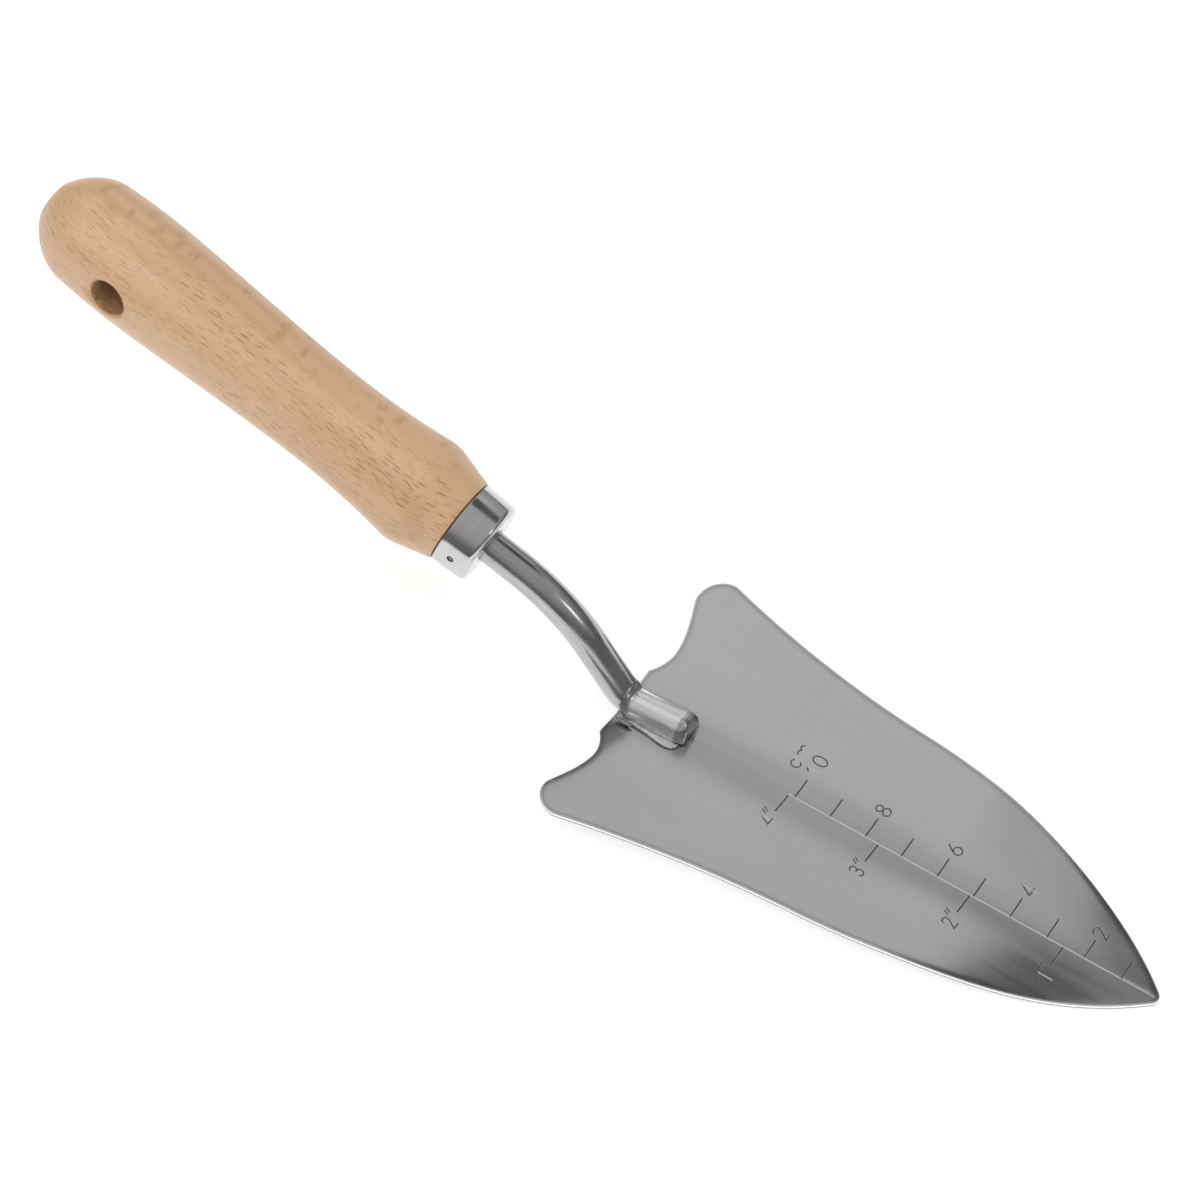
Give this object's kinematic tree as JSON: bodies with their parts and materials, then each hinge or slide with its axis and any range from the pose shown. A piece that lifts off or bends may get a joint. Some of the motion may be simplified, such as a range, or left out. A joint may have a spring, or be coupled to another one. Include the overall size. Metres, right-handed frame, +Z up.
{
  "type": "hand trowel",
  "caption": "Garden hand trowel: pointed dished blade with a depth scale, cranked neck, ferrule and turned wooden handle with a hanging hole.",
  "frame": {"origin": "middle of the bounding box in plan, on the plane that the blade's underside touches", "axes": "+X along the blade's centre line towards its tip, +Y across the blade, +Z up out of the hollow side of the blade"},
  "size_m": [0.3192, 0.0812, 0.0901],
  "materials": {
    "brushed_sheet": "fine brushed stainless sheet, brushed along the blade",
    "polished_bar": "polished stainless round bar with light drawing and handling marks",
    "weld_metal": "bright squeezed-out weld metal, uneven",
    "polished_ferrule": "polished drawn stainless cup",
    "pin_steel": "dull steel pin, slightly sunk",
    "beech": "turned beech, satin clear varnish, grain along the handle",
    "epoxy": "set two-part adhesive, hidden in the handle's bore"
  },
  "bodies": {
    "root": {"blade": "brushed_sheet", "neck_rod": "polished_bar", "weld_flash_left": "weld_metal", "weld_flash_right": "weld_metal", "weld_heel_bead": "weld_metal", "ferrule": "polished_ferrule", "ferrule_pin": "pin_steel", "handle": "beech", "tang_bond": "epoxy"}
  },
  "joints": []
}
